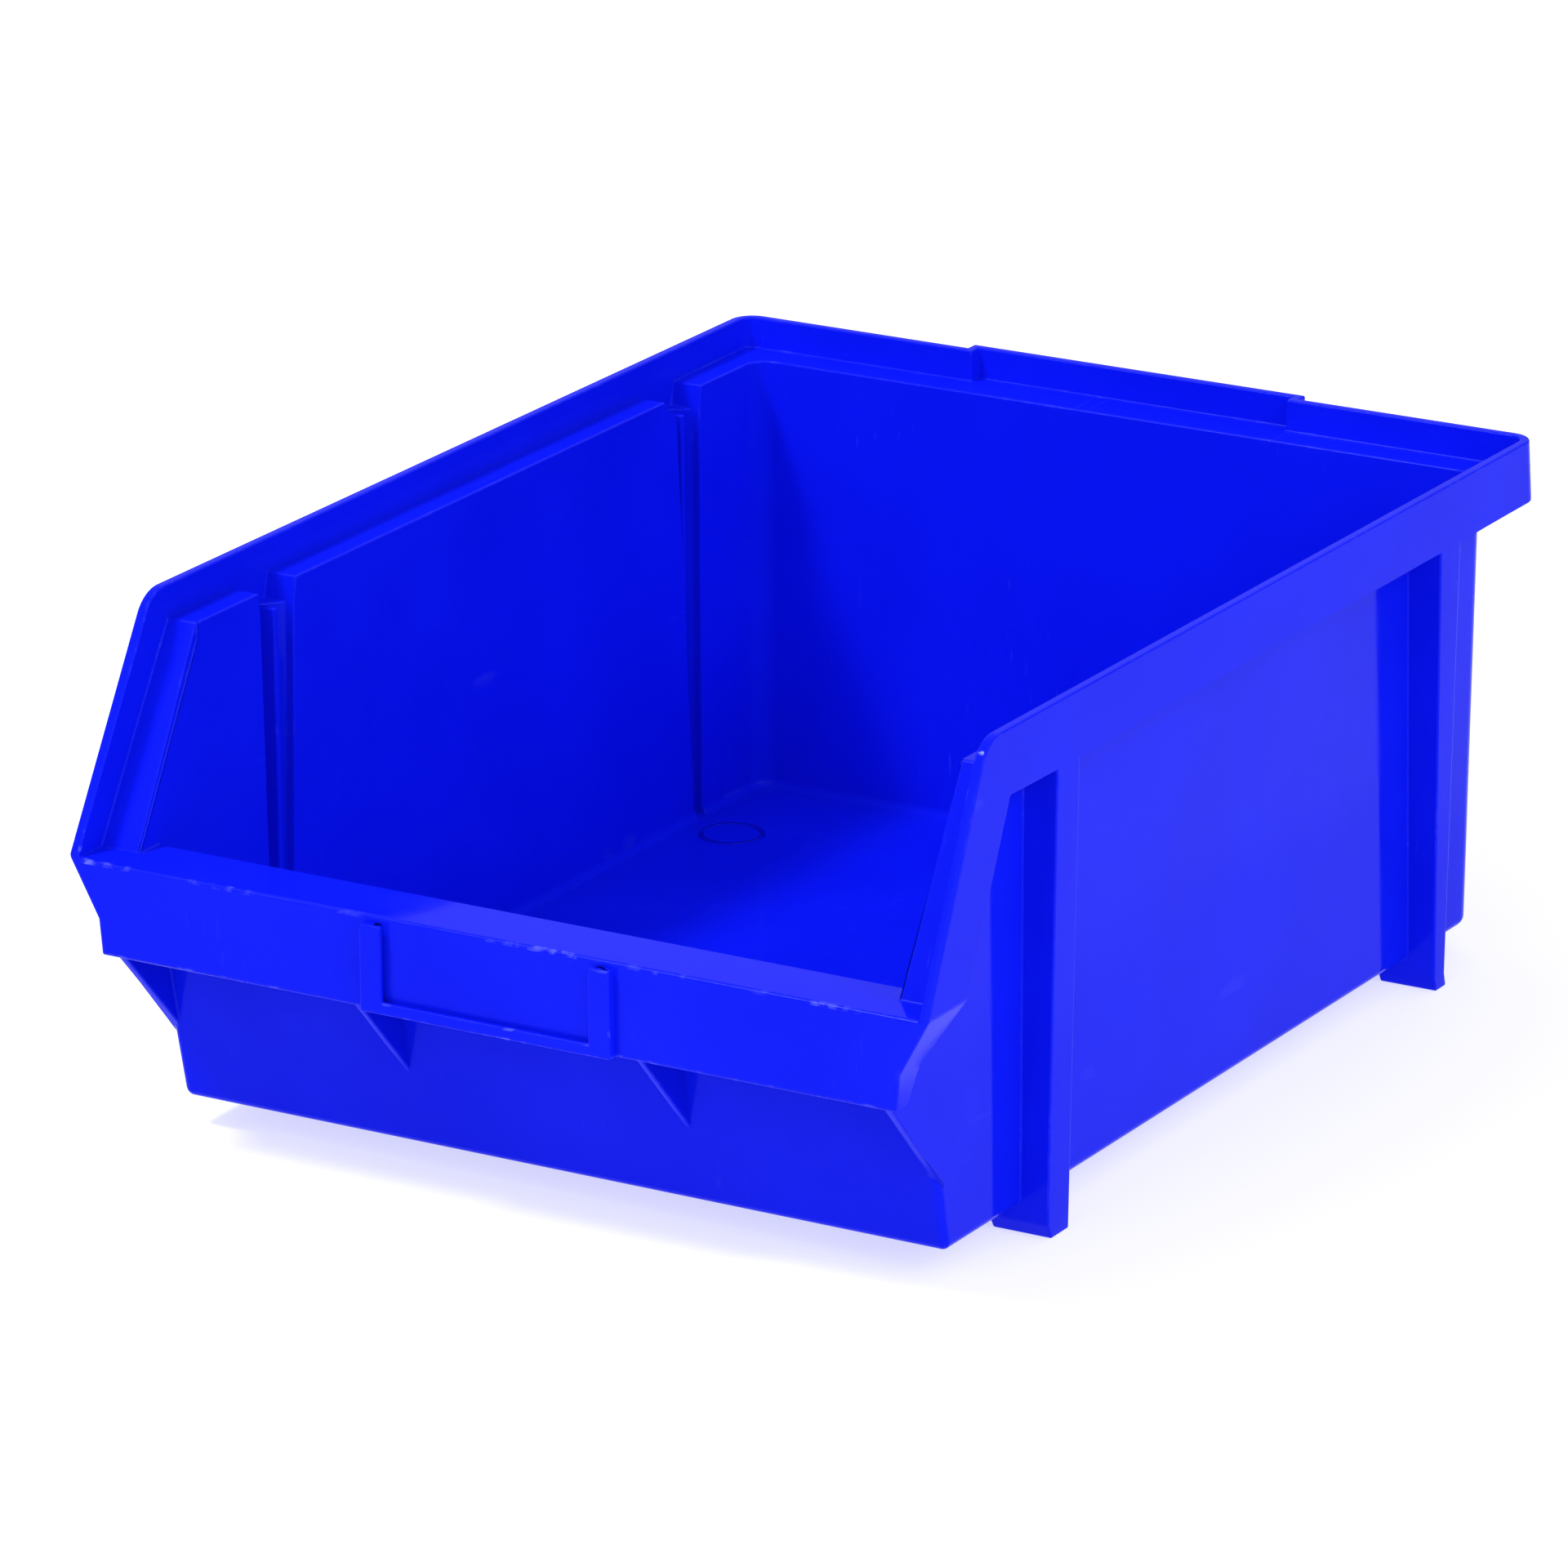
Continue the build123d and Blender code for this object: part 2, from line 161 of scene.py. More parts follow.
# ---------------------------------------------------------------- mesh tools

def link(name, mesh):
    made = bpy.data.objects.new(name, mesh)
    bpy.context.scene.collection.objects.link(made)
    return made


def solid(rings):
    """A closed solid through rings of points, each ring with as many points."""
    count = len(rings[0])
    mesh = bpy.data.meshes.new("solid")
    work = bmesh.new()
    levels = [[work.verts.new(point) for point in ring] for ring in rings]
    work.faces.new(levels[0])
    work.faces.new(levels[-1])
    for low, high in zip(levels, levels[1:]):
        for i in range(count):
            j = (i + 1) % count
            work.faces.new((low[i], low[j], high[j], high[i]))
    bmesh.ops.recalc_face_normals(work, faces=work.faces)
    work.to_mesh(mesh)
    work.free()
    return link("solid", mesh)


def box(x0, x1, y0, y1, z0, z1):
    outline = [(x0, y0), (x1, y0), (x1, y1), (x0, y1)]
    return solid([[(x, y, z) for x, y in outline] for z in (z0, z1)])


def side_prism(points, x0=-FAR, x1=FAR):
    """A prism across the bin from an outline given as (y, z) points."""
    return solid([[(x, y, z) for y, z in points] for x in (x0, x1)])


def front_prism(points, y0, y1):
    """A prism from front to back from an outline given as (x, z) points."""
    return solid([[(x, y, z) for x, z in points] for y in (y0, y1)])


def weld(made):
    """Drops the doubled points and slivers that a boolean leaves."""
    work = bmesh.new()
    work.from_mesh(made.data)
    bmesh.ops.remove_doubles(work, verts=work.verts, dist=0.004)
    bmesh.ops.dissolve_degenerate(work, edges=work.edges, dist=0.002)
    work.to_mesh(made.data)
    work.free()


def boolean(one, other, operation):
    step = one.modifiers.new("step", "BOOLEAN")
    step.operation = operation
    step.solver = "EXACT"
    step.object = other
    bpy.context.view_layer.update()
    graph = bpy.context.evaluated_depsgraph_get()
    mesh = bpy.data.meshes.new_from_object(one.evaluated_get(graph))
    one.modifiers.clear()
    one.data = mesh
    bpy.data.objects.remove(other)
    weld(one)
    return one


def join(first, *others):
    for other in others:
        first = boolean(first, other, "UNION")
    return first


def cut(first, *others):
    for other in others:
        first = boolean(first, other, "DIFFERENCE")
    return first


def common(first, *others):
    for other in others:
        first = boolean(first, other, "INTERSECT")
    return first


def mirrored(made):
    made.data.transform(Matrix.Scale(-1, 4, (1, 0, 0)))
    made.data.flip_normals()
    return made


def both_sides(made):
    """The solid together with its mirror image on the other side of the bin."""
    return join(made, mirrored(link("solid", made.data.copy())))


def arc(centre, radius, start, turn, steps):
    """Points of an arc, anticlockwise from the angle start, both in degrees."""
    points = []
    for i in range(steps + 1):
        angle = math.radians(start + turn * i / steps)
        x = centre[0] + radius * math.cos(angle)
        y = centre[1] + radius * math.sin(angle)
        points.append((x, y))
    return points


def rounded_ring(half, front, back, radius, z, front_radius=SMALLEST_CORNER):
    """A rectangle with rounded corners at the height z."""
    steps = 10
    near, far = front + front_radius, back - radius
    points = arc((half - front_radius, near), front_radius, -90, 90, steps)
    points += arc((half - radius, far), radius, 0, 90, steps)
    points += arc((radius - half, far), radius, 90, 90, steps)
    points += arc((front_radius - half, near), front_radius, 180, 90, steps)
    return [(x, y, z) for x, y in points]


def bend(before, point, after, radius, steps=8):
    """Points of an arc that rounds the corner at point."""
    a = (Vector(before) - Vector(point)).normalized()
    b = (Vector(after) - Vector(point)).normalized()
    half = a.angle(b) / 2
    centre = Vector(point) + (a + b).normalized() * radius / math.sin(half)
    start = Vector(point) + a * radius / math.tan(half) - centre
    end = Vector(point) + b * radius / math.tan(half) - centre
    spokes = [start.slerp(end, i / steps) * radius for i in range(steps + 1)]
    return [tuple(centre + spoke) for spoke in spokes]


def clean(made):
    """Welds the mesh, drops slivers and joins its flat areas into single faces."""
    work = bmesh.new()
    work.from_mesh(made.data)
    bmesh.ops.remove_doubles(work, verts=work.verts, dist=0.14)
    bmesh.ops.dissolve_degenerate(work, edges=work.edges, dist=0.005)
    bmesh.ops.dissolve_limit(
        work, angle_limit=FLAT_ANGLE, verts=work.verts, edges=work.edges
    )
    loose = [edge for edge in work.edges if not edge.link_faces]
    bmesh.ops.delete(work, geom=loose, context="EDGES")
    bmesh.ops.recalc_face_normals(work, faces=work.faces)
    work.to_mesh(made.data)
    work.free()


def is_lip_edge(edge):
    return all(
        vert.co.y < 0.01 and vert.co.z > LIP_BOTTOM - 1 for vert in edge.verts
    )


def round_edges(made, lip_rounding):
    """Rounds every sharp edge, shades the rest smooth and goes over to metres."""
    work = bmesh.new()
    work.from_mesh(made.data)
    weights = work.edges.layers.float.new("bevel_weight_edge")
    for edge in work.edges:
        edge.smooth = True
        if edge.is_manifold and abs(edge.calc_face_angle(0)) > SHARP_ANGLE:
            rounding = lip_rounding if is_lip_edge(edge) else EDGE_ROUNDING
            edge[weights] = rounding / LIP_ROUNDING
    for face in work.faces:
        face.smooth = True
        face.material_index = 0
    bmesh.ops.translate(work, verts=work.verts, vec=(0, -CENTRE_Y, 0))
    bmesh.ops.scale(work, verts=work.verts, vec=(MM, MM, MM))
    work.to_mesh(made.data)
    work.free()
    bevel = made.modifiers.new("rounding", "BEVEL")
    bevel.width = LIP_ROUNDING * MM
    bevel.segments = EDGE_SEGMENTS
    bevel.limit_method = "WEIGHT"
    bevel.use_clamp_overlap = False
    bevel.material = 1
    shading = made.modifiers.new("shading", "WEIGHTED_NORMAL")
    shading.keep_sharp = True
    shading.weight = 60


def finish_piece(made, name, members, lip_rounding=EDGE_ROUNDING):
    clean(made)
    round_edges(made, lip_rounding)
    made.name = name
    made.data.name = name
    made.data.materials.clear()
    for material in (PLASTIC, EDGE_PLASTIC):
        made.data.materials.append(material)
    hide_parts(*members)
    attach(made, "root")


# ---------------------------------------------------------------- materials

def noise(tree, place, scale, detail):
    made = tree.nodes.new("ShaderNodeTexNoise")
    made.inputs["Scale"].default_value = scale
    made.inputs["Detail"].default_value = detail
    tree.links.new(place, made.inputs["Vector"])
    return made.outputs["Fac"]


def ramp(tree, source, low, high, start, end):
    """Maps a value between low and high onto start to end."""
    made = tree.nodes.new("ShaderNodeMapRange")
    made.inputs["From Min"].default_value = low
    made.inputs["From Max"].default_value = high
    made.inputs["To Min"].default_value = start
    made.inputs["To Max"].default_value = end
    tree.links.new(source, made.inputs["Value"])
    return made.outputs["Result"]


def stretched(tree, place, scale):
    made = tree.nodes.new("ShaderNodeMapping")
    made.inputs["Scale"].default_value = scale
    tree.links.new(place, made.inputs["Vector"])
    return made.outputs["Vector"]


def mix_colour(tree, amount, one, other):
    made = tree.nodes.new("ShaderNodeMix")
    made.data_type = "RGBA"
    tree.links.new(amount, made.inputs[0])
    for socket, value in ((made.inputs[6], one), (made.inputs[7], other)):
        if isinstance(value, tuple):
            socket.default_value = value
        else:
            tree.links.new(value, socket)
    return made.outputs[2]


def multiply(tree, one, other):
    made = tree.nodes.new("ShaderNodeMath")
    made.operation = "MULTIPLY"
    tree.links.new(one, made.inputs[0])
    tree.links.new(other, made.inputs[1])
    return made.outputs[0]


def bump(tree, height, strength, distance):
    made = tree.nodes.new("ShaderNodeBump")
    made.inputs["Strength"].default_value = strength
    made.inputs["Distance"].default_value = distance
    tree.links.new(height, made.inputs["Height"])
    return made


def separate(tree, place):
    made = tree.nodes.new("ShaderNodeSeparateXYZ")
    tree.links.new(place, made.inputs[0])
    return made.outputs


def new_material(name):
    """A new material with its tree, its shader and the object coordinates."""
    material = bpy.data.materials.new(name)
    material.use_nodes = True
    tree = material.node_tree
    shader = tree.nodes["Principled BSDF"]
    place = tree.nodes.new("ShaderNodeTexCoord").outputs["Object"]
    return material, tree, shader, place


def plain_marks(tree, place, patches):
    """Sparse fine scratches on the faces."""
    scratches = noise(tree, stretched(tree, place, (900.0, 26.0, 90.0)), 1.0, 2.0)
    return multiply(
        tree,
        ramp(tree, scratches, 0.66, 0.74, 0.0, 1.0),
        ramp(tree, patches, 0.52, 0.72, 0.0, 0.10),
    )


def worn_marks(tree, place, patches):
    """Scuffs on the edges, stronger along the front of the lip."""
    scuffs = noise(tree, place, 260.0, 4.0)
    marks = multiply(
        tree,
        ramp(tree, scuffs, 0.52, 0.66, 0.0, 1.0),
        ramp(tree, patches, 0.46, 0.68, 0.0, 0.07),
    )
    near_lip = ramp(tree, separate(tree, place)["Y"], -0.196, -0.193, 11.0, 1.0)
    return multiply(tree, marks, near_lip)


def plastic(name, marks, roughness, specular):
    """Glossy blue polypropylene with marks where it is scuffed."""
    material, tree, shader, place = new_material(name)
    deep = (0.0026, 0.0083, 0.735, 1.0)
    light = (0.0034, 0.0103, 0.795, 1.0)
    pale = (0.16, 0.19, 0.90, 1.0)
    clouds = ramp(tree, noise(tree, place, 14.0, 3.0), 0.35, 0.65, 0.0, 1.0)
    colour = mix_colour(tree, clouds, deep, light)
    patches = noise(tree, place, 30.0, 4.0)
    colour = mix_colour(tree, marks(tree, place, patches), colour, pale)
    tree.links.new(colour, shader.inputs["Base Color"])
    gloss = ramp(tree, noise(tree, place, 55.0, 4.0), 0.35, 0.70, *roughness)
    tree.links.new(gloss, shader.inputs["Roughness"])
    shader.inputs["Specular IOR Level"].default_value = specular
    shader.inputs["Specular Tint"].default_value = (0.78, 1.0, 1.0, 1.0)
    grain = bump(tree, noise(tree, place, 900.0, 2.0), 0.10, 0.02 * MM)
    waves = bump(tree, noise(tree, place, 16.0, 1.0), 0.6, 0.25 * MM)
    tree.links.new(grain.outputs["Normal"], waves.inputs["Normal"])
    tree.links.new(waves.outputs["Normal"], shader.inputs["Normal"])
    return material


def floor_material():
    """A matt white floor that glows a little, as if it were lit from below."""
    material, tree, shader, place = new_material("studio_floor")
    grey = (0.48, 0.48, 0.478, 1.0)
    paler = (0.51, 0.51, 0.508, 1.0)
    colour = mix_colour(tree, noise(tree, place, 3.0, 2.0), grey, paler)
    tree.links.new(colour, shader.inputs["Base Color"])
    shader.inputs["Emission Color"].default_value = (1.0, 1.0, 1.0, 1.0)
    shader.inputs["Emission Strength"].default_value = 0.63
    shader.inputs["Roughness"].default_value = 0.9
    shader.inputs["Specular IOR Level"].default_value = 0.1
    return material


PLASTIC = plastic("blue_plastic_moulded", plain_marks, (0.05, 0.12), 0.043)
EDGE_PLASTIC = plastic("blue_plastic_scuffed", worn_marks, (0.16, 0.30), 0.055)


# ---------------------------------------------------------------- the bin

def tub_half(z):
    return TUB_HALF + (z - FOOT_HEIGHT) * TUB_HALF_LEAN


def tub_front(z):
    return TUB_FRONT + (z - FOOT_HEIGHT) * TUB_FRONT_LEAN


def tub_back(z):
    return TUB_BACK + (z - FOOT_HEIGHT) * TUB_BACK_LEAN


def rim_half(z):
    return RIM_HALF + (TOTAL_HEIGHT - z) * RIM_LEAN


def rim_back(z):
    return RIM_BACK + (TOTAL_HEIGHT - z) * RIM_LEAN


def tub_ring(inset, z, drawn_in=0.0):
    """The outline of the tub at the height z, drawn in by inset."""
    inward = inset + drawn_in
    return rounded_ring(
        tub_half(z) - inward,
        tub_front(z) + inward,
        tub_back(z) - inward,
        TUB_CORNER - inward,
        z,
        max(TUB_FRONT_CORNER - inward, SMALLEST_CORNER),
    )


def tub_block(inset, z0, z1):
    """The inside or the outside of the tub, with rounded corners and floor edge."""
    rings = []
    for i in range(FLOOR_EDGE_STEPS + 1):
        angle = math.radians(90 * i / FLOOR_EDGE_STEPS)
        z = z0 + FLOOR_EDGE * (1 - math.cos(angle))
        rings.append(tub_ring(inset, z, FLOOR_EDGE * (1 - math.sin(angle))))
    rings.append(tub_ring(inset, z1))
    return solid(rings)


def width_prism(inset, z0, z1):
    """Everything between the planes of the two side walls."""
    low = tub_half(z0) - inset
    high = tub_half(z1) - inset
    outline = [(-low, z0), (low, z0), (high, z1), (-high, z1)]
    return front_prism(outline, -FAR, FAR)


def rim_block(inset):
    """The inside or the outside of the rim, carried on forward past the lip.

    The outside leans all the way. The inside leans below the ledge only.
    """
    # Each level is a height and the height whose width it has.
    levels = [(LIP_BOTTOM, LIP_BOTTOM), (TOTAL_HEIGHT, TOTAL_HEIGHT)]
    if inset:
        levels = [
            (LIP_BOTTOM, LIP_BOTTOM),
            (LEDGE_TOP, TOTAL_HEIGHT),
            (TOTAL_HEIGHT + 5, TOTAL_HEIGHT),
        ]
    return solid([
        rounded_ring(
            rim_half(like) - inset, -FAR, rim_back(like) - inset,
            RIM_CORNER - inset, z,
        )
        for z, like in levels
    ])


def band_foot(z):
    """Rear edge of the rim band where it runs down the slope, at a height z."""
    slope = (TOTAL_HEIGHT - LIP_TOP) / RIM_BEND_Y
    length = (slope**2 + 1) ** 0.5
    return RIM_BEND_Y + RIM_BAND * (length - 1) / slope - (RIM_BOTTOM - z) / slope


def make_hanging_space():
    """The room behind the set-back middle of the rim."""
    half = HANGING_HALF - RIM_WALL
    return box(-half, half, HANGING_INNER_Y, HANGING_BACK - RIM_WALL, 100, 200)


def make_rim():
    """The rim band: level round the sides and back, sloping down to the lip."""
    top = bend(
        (0, LIP_TOP), (RIM_BEND_Y, TOTAL_HEIGHT), (FAR, TOTAL_HEIGHT),
        RIM_BEND_RADIUS,
    )
    band = side_prism([
        (0, LIP_TOP),
        *top,
        (FAR, TOTAL_HEIGHT),
        (FAR, RIM_BOTTOM),
        (band_foot(RIM_BOTTOM), RIM_BOTTOM),
        (band_foot(LIP_TOP), LIP_TOP),
    ])
    rim = common(cut(rim_block(0), rim_block(RIM_WALL)), band)
    half = HANGING_HALF
    hanging = box(
        -half, half, RIM_BACK - RIM_WALL, HANGING_BACK, RIM_BOTTOM, TOTAL_HEIGHT
    )
    return cut(join(rim, hanging), make_hanging_space())


def make_ledge():
    """The level shelf between the tub and the rim."""
    shelf = box(-FAR, FAR, LEDGE_BEND_Y, FAR, LEDGE_BOTTOM, LEDGE_TOP)
    shelf = common(shelf, rim_block(RIM_WALL / 2))
    half = HANGING_HALF - RIM_WALL / 2
    behind = box(
        -half, half, HANGING_INNER_Y, HANGING_BACK - OVERLAP,
        LEDGE_BOTTOM, LEDGE_TOP,
    )
    return join(shelf, behind)


def make_webs():
    """The sloped webs that carry the ledge down to the lip."""
    slope = (LEDGE_TOP - LIP_TOP) / (LEDGE_BEND_Y - LEDGE_FOOT_Y)
    run = WALL * (slope**2 + 1) ** 0.5 / slope
    low = LIP_TOP - OVERLAP
    webs = side_prism([
        (LEDGE_FOOT_Y - OVERLAP / slope, low),
        (LEDGE_BEND_Y, LEDGE_TOP),
        (LEDGE_BEND_Y + OVERLAP, LEDGE_TOP),
        (LEDGE_BEND_Y + OVERLAP, LEDGE_BOTTOM),
        (LEDGE_BEND_Y + run - WALL / slope, LEDGE_BOTTOM),
        (LEDGE_FOOT_Y + run - OVERLAP / slope, low),
    ])
    opening = common(
        width_prism(WALL - 0.5, LIP_TOP - 5, TOTAL_HEIGHT),
        box(-FAR, FAR, -FAR, LEDGE_BEND_Y + 12, 0, FAR),
    )
    return cut(common(webs, rim_block(RIM_WALL / 2)), opening)


def make_lip():
    """The front lip: face, top plate and the two ends that carry on the rims."""
    lip = front_prism([
        (-LIP_HALF, LIP_TOP),
        (LIP_HALF, LIP_TOP),
        (LIP_WAIST_HALF, LIP_WAIST),
        (LIP_BOTTOM_HALF, LIP_BOTTOM),
        (-LIP_BOTTOM_HALF, LIP_BOTTOM),
        (-LIP_WAIST_HALF, LIP_WAIST),
    ], 0, 40)
    inner = LIP_HALF - LIP_END_WALL
    waist = tub_half(LIP_WAIST) - 0.6
    waist_z = LIP_WAIST - RIM_WALL
    plate = LIP_TOP - WALL
    hollow = front_prism([
        (-inner, plate),
        (inner, plate),
        (waist, waist_z),
        (waist, LIP_BOTTOM - 10),
        (-waist, LIP_BOTTOM - 10),
        (-waist, waist_z),
    ], WALL, 60)
    behind = side_prism([
        (band_foot(LIP_BOTTOM - 5), LIP_BOTTOM - 5),
        (band_foot(LIP_TOP + 5), LIP_TOP + 5),
        (FAR, LIP_TOP + 5),
        (FAR, LIP_BOTTOM - 5),
    ])
    return cut(lip, hollow, behind)


def make_side_slabs():
    """The side walls in front of the legs, with the gussets at the lip's ends."""
    outside = width_prism(0, FOOT_HEIGHT, LEDGE_TOP)
    slabs = cut(outside, width_prism(WALL, 0, TOTAL_HEIGHT))
    rear = SLAB_END_Y + 10
    return common(slabs, side_prism([
        (WALL - OVERLAP, LIP_BOTTOM + OVERLAP),
        (SLAB_END_Y, GUSSET_FOOT_Z),
        (rear, GUSSET_FOOT_Z),
        (rear, LEDGE_BOTTOM + OVERLAP),
        (SLAB_END_Y, LEDGE_BOTTOM + OVERLAP),
        (LEDGE_FOOT_Y + OVERLAP, LIP_TOP),
        (WALL - OVERLAP, LIP_TOP - WALL + OVERLAP),
    ]))


def leg_section(place, level, z, half, x_inset=0.0, y_inset=0.0):
    """The outline of a leg, or of the hollow in it, at a height z."""
    front, rear_outer, rear_wall = LEGS[place][level]
    inner = FOOT_INNER + x_inset
    outer = half - x_inset
    slant = (rear_wall - rear_outer) / (half - tub_half(z))
    past = 0 if x_inset else OVERLAP
    rear = rear_wall - y_inset + slant * past
    return [
        (inner, front + y_inset, z),
        (outer, front + y_inset, z),
        (outer, rear_outer - y_inset, z),
        (tub_half(z) - past, rear, z),
        (inner, rear, z),
    ]


def make_leg(place):
    """The outside of one leg with its foot, on the +X side."""
    leg = solid([
        leg_section(place, "foot", 0, FOOT_HALF),
        leg_section(place, "ankle", ANKLE_HEIGHT, ANKLE_HALF),
        leg_section(place, "rim", RIM_BOTTOM, rim_half(RIM_BOTTOM)),
    ])
    front, rear = LEGS[place]["mouth"]
    neck = box(
        FOOT_INNER, FAR, front - LEG_WALL, rear + LEG_WALL,
        RIM_BOTTOM, LEDGE_BOTTOM + OVERLAP,
    )
    front, rear, _ = LEGS[place]["foot"]
    pocket = box(
        FOOT_INNER + FOOT_WALL, FOOT_HALF - FOOT_WALL,
        front + FOOT_WALL, rear - FOOT_WALL, -1, FOOT_HEIGHT - 0.5,
    )
    leg = join(leg, common(neck, rim_block(RIM_WALL / 2)))
    inside = tub_block(0.5, FOOT_HEIGHT + 0.5, LEDGE_TOP + 1)
    return cut(leg, inside, pocket)


def make_slot(place):
    """The hollow of one leg, open to the tub and up through the ledge, +X side."""
    inset = (RIM_WALL, LEG_WALL)
    shaft = solid([
        leg_section(place, "ankle", ANKLE_HEIGHT, ANKLE_HALF, *inset),
        leg_section(place, "rim", RIM_BOTTOM, rim_half(RIM_BOTTOM), *inset),
        leg_section(place, "rim", SEAT_Z, rim_half(SEAT_Z), *inset),
    ])
    shaft = common(shaft, box(0, FAR, 0, FAR, FLOOR_TOP, FAR))
    seat, mouth = LEGS[place]["seat"], LEGS[place]["mouth"]
    opening = side_prism([
        (seat[0], SEAT_Z - 0.01),
        (seat[1], SEAT_Z - 0.01),
        (mouth[1], LEDGE_TOP),
        (mouth[1], LEDGE_TOP + 5),
        (mouth[0], LEDGE_TOP + 5),
        (mouth[0], LEDGE_TOP),
    ], 110, FAR)
    return join(shaft, common(opening, rim_block(RIM_WALL)))


def make_disc(x, y, radius, z0, z1):
    outline = arc((x, y), radius, 0, 360, MARK_STEPS)[:-1]
    return solid([[(px, py, z) for px, py in outline] for z in (z0, z1)])


def make_floor_mark(x, y):
    """A shallow round groove in the floor."""
    outer, inner = (
        make_disc(x, y, radius, FLOOR_TOP - rise, FLOOR_TOP + rise)
        for radius, rise in (
            (MARK_RADIUS, MARK_DEPTH), (MARK_RADIUS - MARK_WIDTH, 2.0),
        )
    )
    return cut(outer, inner)


def make_shell():
    """The tub, the ledge, the rim, the lip and the legs as one closed surface."""
    plate = LIP_TOP - WALL
    shell = join(tub_block(0, FOOT_HEIGHT, LEDGE_TOP - OVERLAP), make_ledge())
    shell = cut(
        shell,
        box(-FAR, FAR, -FAR, LEDGE_BEND_Y, plate, FAR),
        tub_block(WALL, FLOOR_TOP, TOTAL_HEIGHT + 10),
    )
    shell = join(shell, make_side_slabs(), make_lip(), make_webs(), make_rim())
    for place in LEGS:
        shell = join(shell, both_sides(make_leg(place)))
        shell = cut(shell, both_sides(make_slot(place)))
    for x, y in MARK_PLACES:
        shell = cut(shell, make_floor_mark(x, y))
    return shell


def make_label_holder():
    inner = LABEL_HALF - LABEL_BAR
    base_top = LIP_BOTTOM + LABEL_BASE
    holder = box(
        -LABEL_HALF, LABEL_HALF, -LABEL_PROUD, OVERLAP, LIP_BOTTOM, LABEL_TOP
    )
    window = box(-inner, inner, -FAR, FAR, base_top, FAR)
    grip = inner + CARD_GRIP
    groove = box(-grip, grip, -CARD_GAP, -0.02, base_top - CARD_GRIP, FAR)
    return cut(holder, window, groove)


def make_gusset():
    half = GUSSET_THICK / 2
    front = WALL - OVERLAP
    top = LIP_TOP - WALL + 0.5
    gusset = side_prism([
        (front, LIP_BOTTOM + GUSSET_SLOPE),
        (SLAB_END_Y, GUSSET_FOOT_Z),
        (SLAB_END_Y, top),
        (front, top),
    ], GUSSET_X - half, GUSSET_X + half)
    return cut(gusset, tub_block(OVERLAP, FOOT_HEIGHT, LEDGE_TOP))


def make_leg_core(place):
    """The leg a little inside its outer faces, so that a rib ends in its wall."""
    inset = (RIB_INSET, RIB_INSET)
    top = RIM_BOTTOM + 5
    return solid([
        leg_section(place, "ankle", ANKLE_HEIGHT, ANKLE_HALF, *inset),
        leg_section(place, "rim", top, rim_half(RIM_BOTTOM), *inset),
    ])


def make_rib(place):
    y = LEGS[place]["rib"]
    rib = box(
        RIB_INNER, FAR, y - RIB_HALF, y + RIB_HALF, FLOOR_TOP - OVERLAP, SEAT_Z
    )
    return common(rib, rim_block(RIB_INSET), both_sides(make_leg_core(place)))


LABEL_NODES = [
    "label_holder_base", "left_label_holder_upright", "right_label_holder_upright",
]
SMALL_NODES = [
    side + name
    for side in ("left_", "right_")
    for name in ("middle_gusset", "front_slot_rib", "rear_slot_rib")
]
SHELL_NODES = [
    name for name in sorted(NODES) if name not in LABEL_NODES + SMALL_NODES
]


def make_bin():
    finish_piece(make_shell(), "bin_shell", SHELL_NODES, LIP_ROUNDING)
    finish_piece(make_label_holder(), "label_holder", LABEL_NODES)
    for side in ("left_", "right_"):
        small = {
            "middle_gusset": make_gusset(),
            "front_slot_rib": make_rib("front"),
            "rear_slot_rib": make_rib("rear"),
        }
        for name, made in small.items():
            if side == "left_":
                made = mirrored(made)
            finish_piece(made, side + name + "_moulded", [side + name])


# ---------------------------------------------------------------- studio

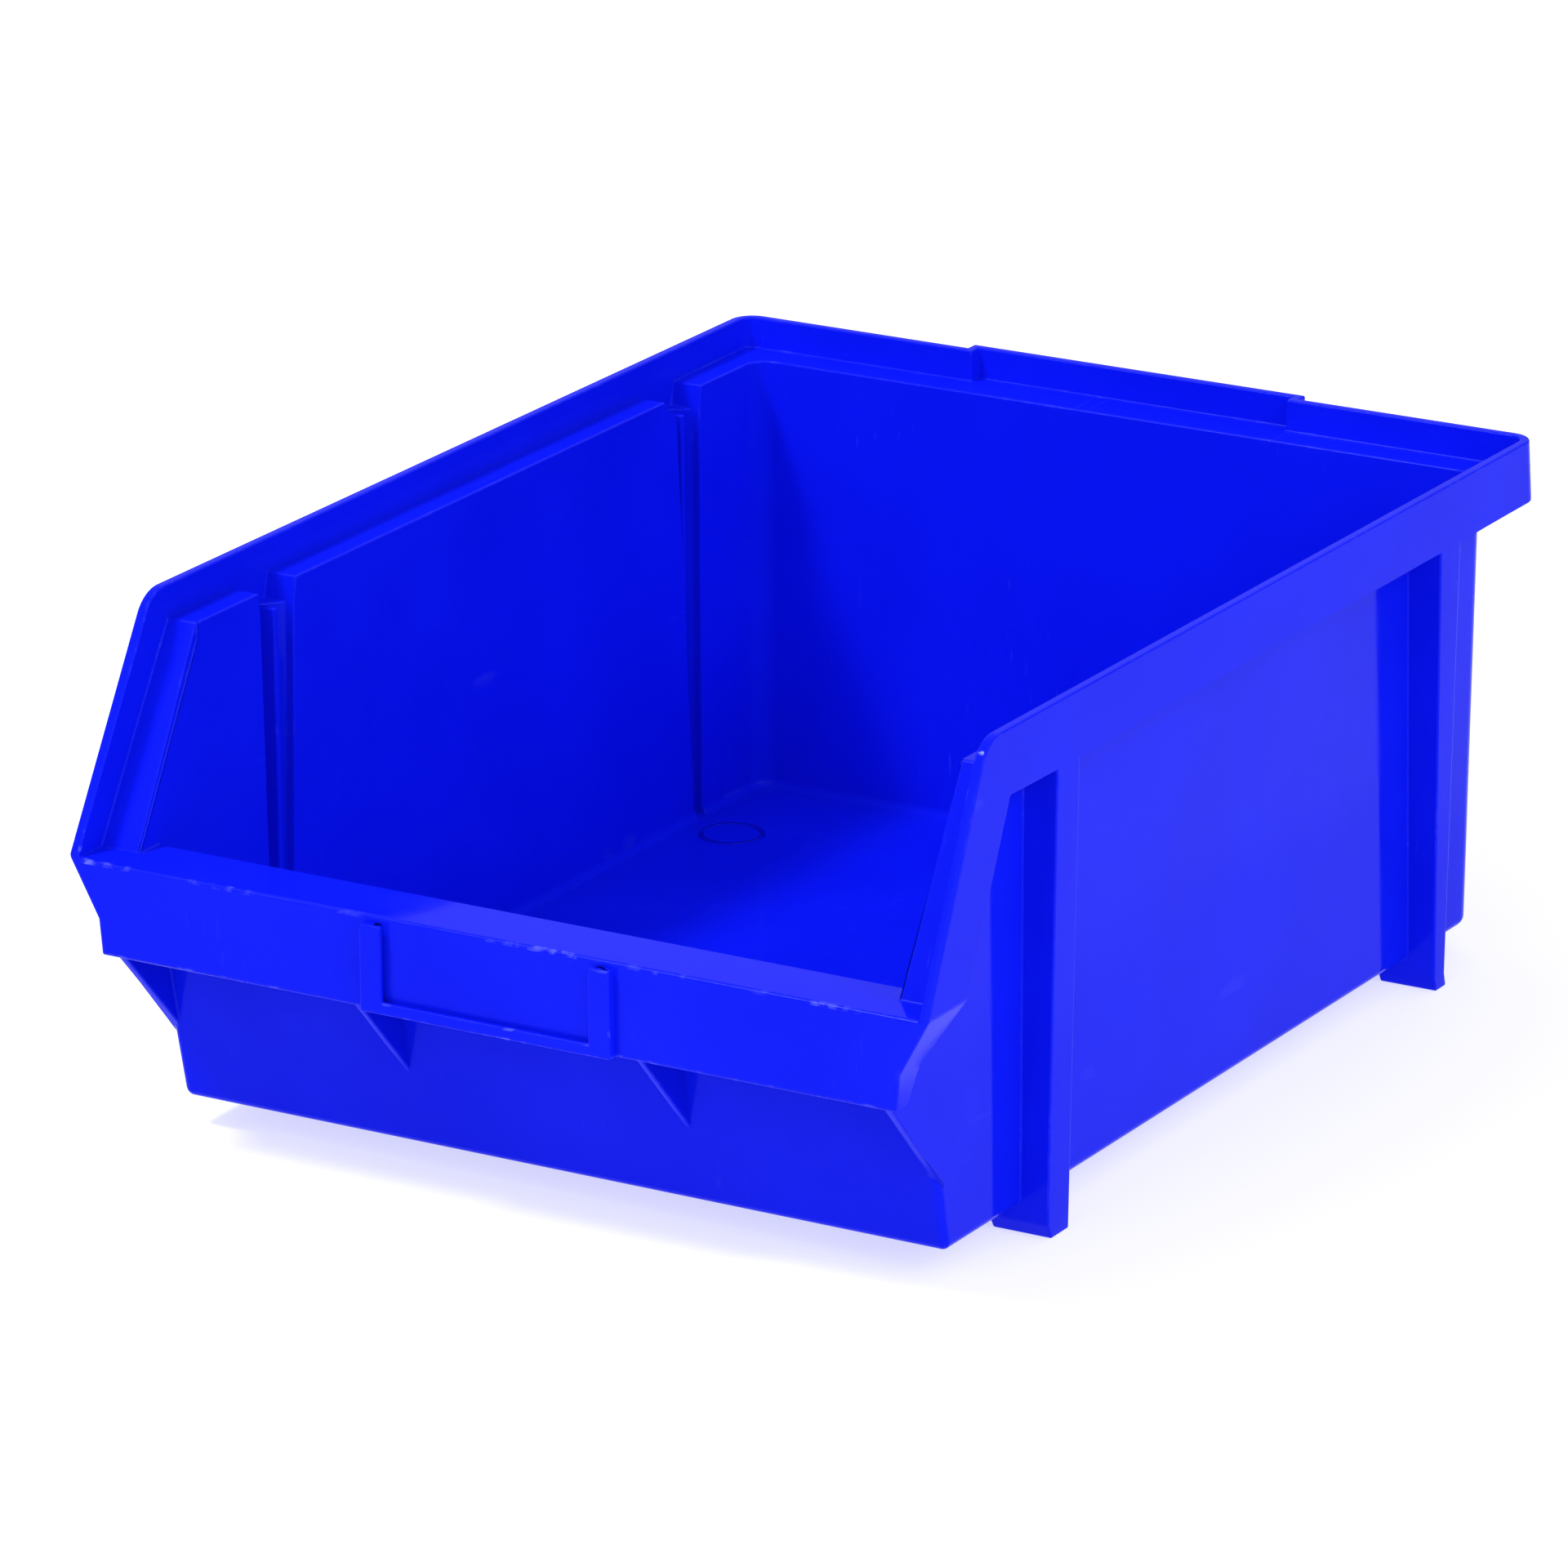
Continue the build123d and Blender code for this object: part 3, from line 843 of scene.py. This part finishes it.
def make_floor():
    size = 8.0
    mesh = bpy.data.meshes.new("studio_floor")
    corners = [(-size, -size, 0), (size, -size, 0), (size, size, 0), (-size, size, 0)]
    mesh.from_pydata(corners, [], [(0, 1, 2, 3)])
    mesh.materials.append(floor_material())
    link("studio_floor", mesh)


def make_light(name, place, size, power):
    """A soft rectangular light that points at the bin."""
    data = bpy.data.lights.new(name, "AREA")
    data.shape = "RECTANGLE"
    data.size, data.size_y = size
    data.energy = power
    light = link(name, data)
    light.location = place
    aim = Vector((0.0, 0.0, 0.1)) - Vector(place)
    light.rotation_euler = aim.to_track_quat("-Z", "Y").to_euler()


def make_world():
    """A plain white surrounding that gets brighter upwards."""
    world = bpy.data.worlds.new("studio")
    bpy.context.scene.world = world
    world.use_nodes = True
    tree = world.node_tree
    background = tree.nodes["Background"]
    background.inputs["Color"].default_value = (1.0, 1.0, 1.0, 1.0)
    sky = tree.nodes.new("ShaderNodeTexCoord").outputs["Generated"]
    strength = ramp(tree, separate(tree, sky)["Z"], 0.15, 0.75, 0.42, 0.78)
    tree.links.new(strength, background.inputs["Strength"])


def make_camera():
    azimuth = math.radians(CAMERA_AZIMUTH)
    elevation = math.radians(CAMERA_ELEVATION)
    roll = math.radians(CAMERA_ROLL)
    back = Vector((
        math.sin(azimuth) * math.cos(elevation),
        -math.cos(azimuth) * math.cos(elevation),
        math.sin(elevation),
    ))
    level = Vector((math.cos(azimuth), math.sin(azimuth), 0.0))
    upright = back.cross(level)
    right = level * math.cos(roll) + upright * math.sin(roll)
    up = upright * math.cos(roll) - level * math.sin(roll)
    data = bpy.data.cameras.new("camera")
    data.sensor_width = 36.0
    data.lens = CAMERA_LENS
    data.clip_end = 50.0
    camera = link("camera", data)
    turn = Matrix((right, up, back)).transposed()
    camera.matrix_world = Matrix.Translation(CAMERA_PLACE) @ turn.to_4x4()
    bpy.context.scene.camera = camera


make_bin()
make_floor()
make_light("key", (-1.08, -1.20, 2.45), (0.45, 0.45), 44.0)
make_light("fill", (2.18, -0.76, 1.30), (1.6, 1.6), 28.0)
make_light("front", (-0.4, -2.6, 1.2), (1.6, 1.0), 7.0)
make_world()
make_camera()
bpy.context.scene.view_settings.view_transform = "Standard"
bpy.context.scene.view_settings.look = "None"
